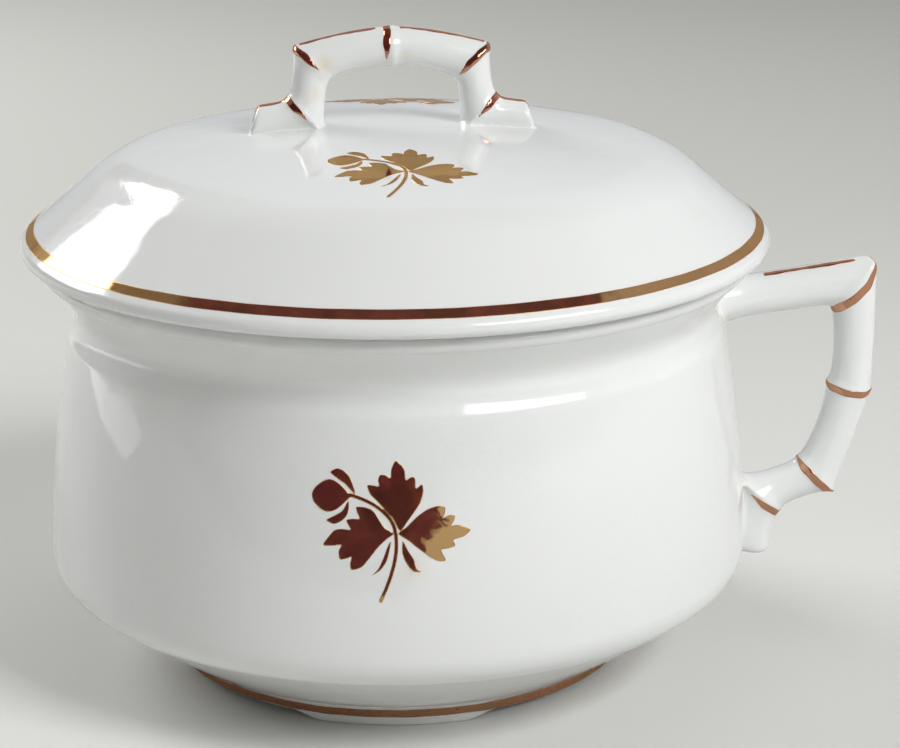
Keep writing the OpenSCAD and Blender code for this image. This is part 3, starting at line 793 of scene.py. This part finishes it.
def line_gap(spots, line):
    """Distance of flat spots from a line of points."""
    a, edge = line[:-1], np.diff(line, axis=0)
    away = spots[:, None] - a[None]
    share = np.clip((away * edge).sum(-1) / (edge ** 2).sum(-1), 0, 1)
    return np.linalg.norm(away - share[..., None] * edge, axis=-1).min(1)


def outline_gap(spots, outline):
    """Distance of flat spots from a closed outline, below zero inside it."""
    loop = np.vstack([outline, outline[:1]])
    a, b, edge = loop[:-1], loop[1:], np.diff(loop, axis=0)
    y = spots[:, 1:]
    rise = np.where(edge[:, 1] == 0, 1e-9, edge[:, 1])
    beside = (a[:, 1] > y) != (b[:, 1] > y)
    passes = beside & (spots[:, :1] < edge[:, 0] * (y - a[:, 1]) / rise + a[:, 0])
    near = line_gap(spots, loop)
    return np.where(passes.sum(1) % 2 == 1, -near, near)


stem_line = joined(
    curve((-13.1, 11.5), (-7.5, 10.2), (-0.6, 6.6), (0.1, 0.3)),
    curve((0.1, 0.3), (0.9, -5.4), (-0.6, -11.4), (-4.4, -19.7)),
)
leaves = [top_leaf, left_leaf, right_leaf, bud, upper_sepal, lower_sepal, left_blade, right_blade]


def sprig_gap(spots):
    """Distance of flat spots from the sprig, below zero in a leaf or in the stem."""
    gaps = [outline_gap(spots, leafy(leaf)) for leaf in leaves]
    return np.minimum.reduce(gaps + [line_gap(spots, stem_line) - stem_w / 2])


def cut_out(low, high, step, gap):
    """Flat mesh of the part of a grid where gap is below zero, and how deep inside each point lies."""
    across, up = (np.arange(a, b, step) for a, b in zip(low, high))
    spots = np.stack(np.meshgrid(across, up, indexing="ij"), axis=-1).reshape(-1, 2)
    corner = np.arange(len(spots)).reshape(len(across), len(up))
    squares = np.stack([corner[:-1, :-1], corner[1:, :-1], corner[1:, 1:], corner[:-1, 1:]], axis=-1)
    return trimmed(spots, squares.reshape(-1, 4), gap(spots))


sprig_flat, sprig_triangles, sprig_depth = cut_out(sprig_low, sprig_high, sprig_grid, sprig_gap)
sprig_lustre = copper_lustre("sprig_lustre", sprig_shine)


def turned_by(points, angle):
    """Points turned about the pot's axis."""
    c, s = math.cos(angle), math.sin(angle)
    return points @ np.array([(c, s, 0.0), (-s, c, 0.0), (0.0, 0.0, 1.0)])


def bowl_sprig(name, node, turn):
    """Sprig on the bowl's wall, turned round it from the front."""
    height = sprig_z + sprig_flat[:, 1]
    depth = -np.sqrt(wall_r(height) ** 2 - sprig_flat[:, 0] ** 2)
    points = turned_by(np.column_stack([sprig_flat[:, 0], depth, height]), turn)
    normals = normals_of(points, sprig_triangles)
    made = lustre(name, points, sprig_triangles, normals, sprig_depth, sprig_lustre)
    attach(made, "pot")
    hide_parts(node)


bowl_sprig("front_sprig_lustre", "front_sprig", sprig_turn)
bowl_sprig("back_sprig_lustre", "back_sprig", sprig_turn + math.pi)

# Lid: one round dish of the same ware with a sloped flank, a soft crease and a low domed top. Its
# rolled edge stands out over the pot's lip, and its flat seat rests on it.
lid_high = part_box("lid_shell")[1]
lid_r = lid_high.x / MM
top_z = lid_high.z / MM
flank_angle = math.radians(40)
flank_way = np.array([math.cos(flank_angle), -math.sin(flank_angle)])
lid_edge_r = 2.9
edge_middle = np.array([lid_r - lid_edge_r, lip_z + 3.8])
crease_r = lid_r - 29.8
crease_round = 9.0
dome_rise = 9.6
lid_wall_t = 6.5
lean_ahead = 1.5
seat_out_r = lip_r - bead_r / 2
seat_in_r = mouth_r - 1.2
dome_end = crease_r - crease_round
dome_r = np.linspace(0.0, dome_end, 41)
dome_line = np.column_stack([dome_r, top_z - dome_rise * (dome_r / crease_r) ** 2])
crease = np.array([crease_r, top_z - dome_rise])
flank_start = crease + crease_round * flank_way
flank_end = edge_middle + lid_edge_r * left_of(flank_way)
lid_top = joined(
    dome_line, curve(dome_line[-1], crease, flank_start), spread(flank_start, flank_end, 12)
)
lid_edge = arc(edge_middle, lid_edge_r, 50, -90, 20)


def lid_z(r):
    """Height of the lid's top at a radius."""
    return np.interp(r, lid_top[:, 0], lid_top[:, 1])


under_r = np.linspace(0.0, seat_in_r, 49)
under_lean = np.gradient(lid_z(under_r + lean_ahead), under_r)
under_line = np.column_stack([under_r, lid_z(under_r) - lid_wall_t * np.sqrt(1 + under_lean ** 2)])
lid_outline = joined(
    under_line, spread((seat_in_r, under_line[-1, 1]), (seat_in_r, lip_z), 3),
    spread((seat_in_r, lip_z), (seat_out_r, lip_z), 4), lid_edge[::-1], lid_top[::-1],
)
right_foot_spot = (0.041, -0.006, 0.171)
left_foot_stain = ((-0.036, -0.006, 0.172), 0.005, 0.3)
right_foot_stain = (right_foot_spot, 0.005, 0.4)
lid_glaze = white_glaze("lid_glaze", [left_foot_stain, right_foot_stain])
lid = piece("lid", *turned(lid_outline), lid_glaze)
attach(lid, "lid")
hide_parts("lid_shell")

# Lid flange: a plain ring of clay luted under the lid, which keeps it in place in the pot's mouth.
# Its lower edge is wiped round while the clay is soft.
flange_low, flange_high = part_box("lid_flange")
flange_out_r = flange_high.x / MM
flange_t = 4.3
flange_in_r = flange_out_r - flange_t
flange_sunk = 0.4
flange_z = flange_low.z / MM
flange_round = 1.5
flange_top = np.interp([flange_out_r, flange_in_r], *under_line.T) + flange_sunk
flange_outline = joined(
    arc((flange_in_r + flange_round, flange_z + flange_round), flange_round, 180, 270, 6),
    arc((flange_out_r - flange_round, flange_z + flange_round), flange_round, -90, 0, 6),
    spread((flange_out_r, flange_z + flange_round), (flange_out_r, flange_top[0]), 6),
    spread((flange_in_r, flange_top[1]), (flange_in_r, flange_z + flange_round), 6)[:-1],
)
flange_glaze = white_glaze("flange_glaze")
flange = piece("flange", *turned(flange_outline, closed=True), flange_glaze)
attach(flange, "lid")
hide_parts("lid_flange")

# Lid handle: lengths of cane moulded in one piece as a low arch with two short feet, and luted across
# the middle of the lid. Its glaze is stained where it gathers in the corners.
grip_node_r = 6.2
grip_waist_r = 5.95
leg_waist_r = 5.45
grip_up = 24.1
grip_arch = 4.6
grip_half = 25.6
grip_bow = 1.2
ankle_r = grip_half + 1.7
ankle_up = 3.8
toe_half = 44.5
toe_up = 2.8
toe_r = 5.15
toe_slant = 24.0
toe_round = 1.4
grip_shift = (-0.7, 0.0)
half_path = [
    (grip_half, top_z + grip_up - grip_arch), (ankle_r, lid_z(ankle_r) + ankle_up),
    (toe_half, lid_z(toe_half) + toe_up),
]
other_half = [(-x, z) for x, z in half_path[::-1]]
grip_path = np.array(other_half + [(0.0, top_z + grip_up)] + half_path) + grip_shift
grip_radii = [toe_r] + [grip_node_r] * 5 + [toe_r]
grip_waists = [toe_r, leg_waist_r, grip_waist_r, grip_waist_r, leg_waist_r, toe_r]
grip_bows = [0.0, 0.0, grip_bow, grip_bow, 0.0, 0.0]
grip_fillet = 2.6
grip_collar = 3.0


def lid_gap(points):
    """Distance from the lid's top, below zero in the clay."""
    r = np.hypot(points[:, 0], points[:, 1])
    lean = 2 * dome_rise * r / crease_r ** 2
    return (points[:, 2] - lid_z(r)) / np.sqrt(1 + lean ** 2)


def lid_handle_gap(points):
    """Distance to the lid handle, with fillets where it meets the lid."""
    canes = cane_gap(points, grip_path, grip_radii, grip_waists, grip_bows, toe_round, toe_slant)
    top = lid_gap(points) + sunk
    return np.maximum.reduce([melt(canes, top, grip_fillet), canes - grip_collar, -top - tuck])


grip_low = (-toe_half - 11.0, -13.0, lid_z(toe_half) - 6.0)
grip_high = (toe_half + 11.0, 13.0, top_z + grip_up + 10.0)
grip_points, grip_faces = skinned(lid_handle_gap, grip_low, grip_high, skin_step)
corner_stain = ((-0.022, -0.006, 0.1955), 0.004, 0.5)
leg_stain = ((-0.0245, -0.006, 0.186), 0.005, 0.3)
bar_stain = ((0.0035, -0.006, 0.198), 0.003, 0.25)
toe_stain = (right_foot_spot, 0.004, 0.3)
grip_glaze = white_glaze("lid_handle_glaze", [corner_stain, leg_stain, bar_stain, toe_stain])
lid_handle = piece("lid_cane_handle", grip_points, grip_faces, grip_glaze)
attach(lid_handle, "lid")
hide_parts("lid_handle")

# Lid rim band: a line of copper lustre brushed round the flank on the wheel, just above the lid's edge.
# Its edges waver a little, as the brush did.
rim_band_low = 1.3
rim_band_w = 3.5
rim_band_uneven = 0.16
rim_band_seed = 0.7
flank_run = 8.0
rim_shine = (1.0, 0.72, 0.30, 1.0)
flank_line = spread(flank_end, flank_end - flank_run * flank_way, 24)
rim_lustre = copper_lustre("rim_lustre", rim_shine)
rim_band = band(
    "lid_rim_band_lustre", flank_line, rim_band_low + rim_band_w / 2, rim_band_w,
    rim_band_uneven, rim_band_seed, rim_lustre,
)
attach(rim_band, "lid")
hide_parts("lid_rim_band")

# Lid handle rings and stripes: lustre painted by hand over the five nodes, along the top of both bars
# and along the feet. The rings taper where the brush was lifted.
grip_ring_w = 2.3
grip_stripe_w = 2.4
grip_stripe_turn = math.radians(7)
bar = np.linalg.norm(grip_path[3] - grip_path[2])
shin = np.linalg.norm(grip_path[1] - grip_path[0])
# Node, width against grip_ring_w, reach round the cane in radians, shift along it and sag on its sides
grip_ring_strokes = (
    (1, 0.95, 1.8, -0.2, -0.4),
    (2, 1.0, 2.1, -0.3, 0.8),
    (3, 1.0, 2.3, -1.7, 0.0),
    (4, 1.05, 2.7, 0.3, -0.8),
    (5, 0.95, 1.8, 0.2, 0.2),
)
# Cane, and start and end along it
grip_stripe_strokes = (
    (2, -2.8, bar - 4.0),
    (3, 1.4, bar + 2.8),
    (0, -1.0, shin - 5.0),
    (5, 5.0, shin + 1.0),
)
grip_ring_field = np.minimum.reduce(
    [ring_field(grip_points, grip_path, grip_ring_w, *stroke) for stroke in grip_ring_strokes]
)
grip_rings = painted("lid_handle_ring_lustre", grip_points, grip_faces, grip_ring_field, handle_lustre)
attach(grip_rings, "lid")
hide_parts("lid_handle_rings")
grip_stripe_field = np.minimum.reduce([
    stripe_field(grip_points, grip_path, grip_stripe_w, grip_stripe_turn, *stroke)
    for stroke in grip_stripe_strokes
])
grip_stripes = painted(
    "lid_handle_stripe_lustre", grip_points, grip_faces, grip_stripe_field, handle_lustre
)
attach(grip_stripes, "lid")
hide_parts("lid_handle_stripes")

# Lid sprigs: the same leaf sprig in copper lustre, brushed by hand on the domed top in front of the
# handle and behind it. The film follows the dome.
lid_sprig_r = crease_r - 32.3
lid_sprig_lean = math.radians(-5.5)


def lid_sprig(name, node, turn):
    """Sprig on the lid's top, turned round it from the front."""
    c, s = math.cos(lid_sprig_lean), math.sin(lid_sprig_lean)
    flat = sprig_flat @ np.array([(c, s), (-s, c)]) - (0.0, lid_sprig_r)
    points = turned_by(np.column_stack([flat, lid_z(np.hypot(flat[:, 0], flat[:, 1]))]), turn)
    normals = normals_of(points, sprig_triangles)
    made = lustre(name, points, sprig_triangles, normals, sprig_depth, sprig_lustre)
    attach(made, "lid")
    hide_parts(node)


lid_sprig("lid_front_sprig_lustre", "lid_front_sprig", 0.0)
lid_sprig("lid_back_sprig_lustre", "lid_back_sprig", math.pi)

# Floor: a broad round sheet of matt pale paper that the pot stands on, with faint clouds in its tone.
# It is painted a little darker towards the back, which is painted shade.
floor_reach = 4000.0
floor_sides = 96
fleck_scale = 6.0
paper_tone = (0.72, 0.72, 0.70, 1.0)
paper_cloud = (0.69, 0.69, 0.672, 1.0)
painted_back_shade = (0.645, 0.645, 0.62, 1.0)
back_start, back_end = 0.1, 0.7
floor_material, floor_start, floor_shader = material_with(
    "floor_paper", Roughness=1.0, Specular_IOR_Level=0.0
)
floor_place = floor_start.node("ShaderNodeTexCoord", out="Object")
fleck = noise(floor_place, fleck_scale, 2.0)
depth_back = floor_start.node("ShaderNodeSeparateXYZ", None, {"Vector": floor_place}, "Y")
near_tone = (fleck * 0.4).mixed(paper_tone, paper_cloud)
# Painted shade: the floor's colour darkens towards the back.
floor_tone = depth_back.step(back_start, back_end).mixed(near_tone, painted_back_shade)
feed(floor_shader, Base_Color=floor_tone)
floor_ring = arc((0.0, 0.0), floor_reach, 0, 360, floor_sides)[:-1]
floor_points = np.column_stack([floor_ring, np.zeros(len(floor_ring))])
floor = piece("floor", floor_points, [range(len(floor_ring))], floor_material)

# Lamps: soft lamps in front on the right, behind on the left and above light the matt colour. The gloss
# alone shows windows behind on the left and in front on the right, and painted reflections: a glowing
# pale sheet behind for a wall, a glowing pale sheet and a dark sheet on the floor, and a black sheet
# for the dark side of the room in front.
aim = np.array([0.0, 0.0, 110.0])
black = (0.0, 0.0, 0.0, 1.0)
clear_white = (1.0, 1.0, 1.0, 1.0)
wall_tint = (0.97, 1.0, 1.05, 1.0)
dark_reflection_tone = (0.02, 0.02, 0.02, 1.0)
room_tone = (0.282, 0.279, 0.262, 1.0)
ceiling_tone = (0.05, 0.05, 0.05, 1.0)
ceiling_low, ceiling_high = 0.79, 0.83
window_grid = 0.5
sheet_up = 1.0
# Outlines of windows and of the painted wall reflection in degrees round and up from the pot
left_window = [
    (109.9, 22), (109.9, 34.8), (111, 36.2), (114, 38), (117, 39.4), (120, 40.6), (124, 41.4),
    (129, 42.2), (133, 42.6), (137, 42), (140, 41), (143, 39.6), (150, 37), (160, 34), (160, 13),
    (150, 14), (147, 16), (123, 16), (124, 20), (125.4, 24), (127, 27), (128, 29), (126.6, 31),
    (123.6, 30.4), (120, 28), (116, 24.6), (112.4, 21.6),
]
left_haze = [(107, 9), (140, 9), (140, 34), (110, 34), (107, 28)]
front_window = [(-71, 22), (-27, 22), (-27, 44), (-71, 44)]
wall_reflection_outline = [
    (4, -3), (125, -3), (125, 10), (105, 14), (100, 48), (60, 52), (30, 50), (16, 55), (13, 53),
    (10, 56), (4, 55),
]
# Outlines on the floor in millimetres
pale_reflection_outline = [
    (-633, 52), (-606, 265), (-640, 420), (-680, 640), (-850, 680), (-800, 420), (-1206, 163),
    (-998, -10),
]
dark_reflection_outline = [
    (-1700, -380), (-12, -380), (50, -657), (38, -700), (94, -750), (78, -790), (155, -877),
    (136, -900), (191, -913), (176, -1094), (338, -2900), (-1700, -2900),
]
dark_distance = 3000.0
dark_low, dark_high = -2.3, 72
dark_turns = range(-165, -21, 11)


def way_to(azimuth, elevation):
    """Unit vector from the pot, with its angles in degrees."""
    turn, lift = math.radians(azimuth), math.radians(elevation)
    return np.array([math.cos(lift) * math.cos(turn), math.cos(lift) * math.sin(turn), math.sin(lift)])


def soft_lamp(name, azimuth, elevation, distance, size, power):
    """Square lamp that lights the matt colour only, so that it isn't seen in the gloss."""
    light = bpy.data.lights.new(name, "AREA")
    light.size = size
    light.energy = power
    lamp = bpy.data.objects.new(name, light)
    bpy.context.scene.collection.objects.link(lamp)
    lamp.location = Vector((aim + distance * way_to(azimuth, elevation)) * MM)
    lamp.rotation_euler = Vector(way_to(azimuth, elevation)).to_track_quat("Z", "Y").to_euler()
    lamp.visible_camera = False
    lamp.visible_glossy = False


def gloss_only(sheet):
    """Leaves a sheet to be seen in the gloss alone, hidden from the camera, the matt light and shadows.
    """
    sheet.visible_camera = False
    sheet.visible_diffuse = False
    sheet.visible_shadow = False


def window(name, distance, outline, glow, soft, tint=clear_white):
    """Bright sheet in the gloss, which fades to the tone of the room over soft degrees at its edge."""
    outline = np.array(outline, float)
    spots, triangles, depth = cut_out(
        outline.min(0) - 1, outline.max(0) + 1, window_grid, lambda spots: outline_gap(spots, outline)
    )
    made, start, shader = material_with(name, Base_Color=black, Emission_Strength=glow)
    lit = start.node("ShaderNodeAttribute", {"attribute_name": "lit"}, out="Fac")
    edge_tone = [c / glow for c in room_tone[:3]] + [1.0]
    feed(shader, Emission_Color=lit.mixed(edge_tone, tint))
    sheet = piece(name, [aim + distance * way_to(*spot) for spot in spots], triangles, made)
    share = sheet.data.attributes.new("lit", "FLOAT", "POINT")
    share.data.foreach_set("value", np.clip(depth / soft, 0, 1).astype(np.float32))
    gloss_only(sheet)


def floor_sheet(name, outline, colour, glow):
    """Matt sheet on the floor that only the gloss shows, a painted reflection that glows by glow in its
    own colour.
    """
    made = material_with(
        name, Base_Color=colour, Roughness=1.0, Specular_IOR_Level=0.0,
        Emission_Color=colour, Emission_Strength=glow,
    )[0]
    sheet = piece(name, [(x, y, sheet_up) for x, y in outline], [range(len(outline))], made)
    gloss_only(sheet)


soft_lamp("key_light", azimuth=-45, elevation=36, distance=2000, size=0.8, power=29.5)
soft_lamp("back_light", azimuth=138, elevation=27, distance=1900, size=1.0, power=22.0)
soft_lamp("top_light", azimuth=0, elevation=88, distance=2000, size=1.6, power=5.2)
window("window_left", 9000, left_window, glow=9.0, soft=1.5)
window("window_haze", 9500, left_haze, glow=0.75, soft=6.0)
window("window_front", 1400, front_window, glow=7.0, soft=0.8)
# Glowing pale sheet behind that only the gloss shows: a painted reflection standing for a wall.
window("painted_wall_reflection", 1900, wall_reflection_outline, glow=0.5, soft=0.8, tint=wall_tint)
# Glowing pale sheet on the floor that only the gloss shows: a painted reflection.
floor_sheet("painted_pale_reflection", pale_reflection_outline, clear_white, glow=0.95)
# Dark sheet on the floor that only the gloss shows: a painted dark reflection standing in for shade.
floor_sheet("painted_dark_reflection", dark_reflection_outline, dark_reflection_tone, glow=0.0)
# Black sheet in front that only the gloss shows: a painted dark reflection for the unlit side of the
# room.
dark_material = material_with("dark_room", Base_Color=black, Specular_IOR_Level=0.0)[0]
dark_points = [
    aim + dark_distance * way_to(turn, lift) for lift in (dark_low, dark_high) for turn in dark_turns
]
dark_count = len(dark_turns)
dark_faces = [(k, k + 1, dark_count + k + 1, dark_count + k) for k in range(dark_count - 1)]
dark_room = piece("dark_room", dark_points, dark_faces, dark_material)
gloss_only(dark_room)
world = bpy.data.worlds.new("room")
world.use_nodes = True
bpy.context.scene.world = world
room = Wire(world.node_tree)
way_out = room.node("ShaderNodeTexCoord", out="Generated")
height = room.node("ShaderNodeSeparateXYZ", None, {"Vector": way_out}, "Z")
room_colour = height.step(ceiling_low, ceiling_high).mixed(room_tone, ceiling_tone)
background = world.node_tree.nodes["Background"]
feed(background, Color=room_colour)
background.inputs["Strength"].default_value = 1.0

# Camera: it stands in front of the pot and looks down on it a little, as in the photograph. Its long
# lens is given in pixels of that picture.
photo_w = 900.0
focal_px = 2599.4
camera_place = (-0.042753, -0.815775, 0.337602)
view_right = Vector((0.997179, -0.074885, -0.005052))
view_up = Vector((0.026398, 0.286920, 0.957591))
view_back = view_right.cross(view_up)
camera_data = bpy.data.cameras.new("camera")
camera_data.sensor_fit = "HORIZONTAL"
camera_data.sensor_width = 36.0
camera_data.lens = camera_data.sensor_width * focal_px / photo_w
camera = bpy.data.objects.new("camera", camera_data)
bpy.context.scene.collection.objects.link(camera)
view_turn = Matrix((view_right, view_up, view_back)).transposed().to_4x4()
camera.matrix_world = Matrix.Translation(camera_place) @ view_turn
bpy.context.scene.camera = camera
bpy.context.scene.view_settings.view_transform = "Standard"
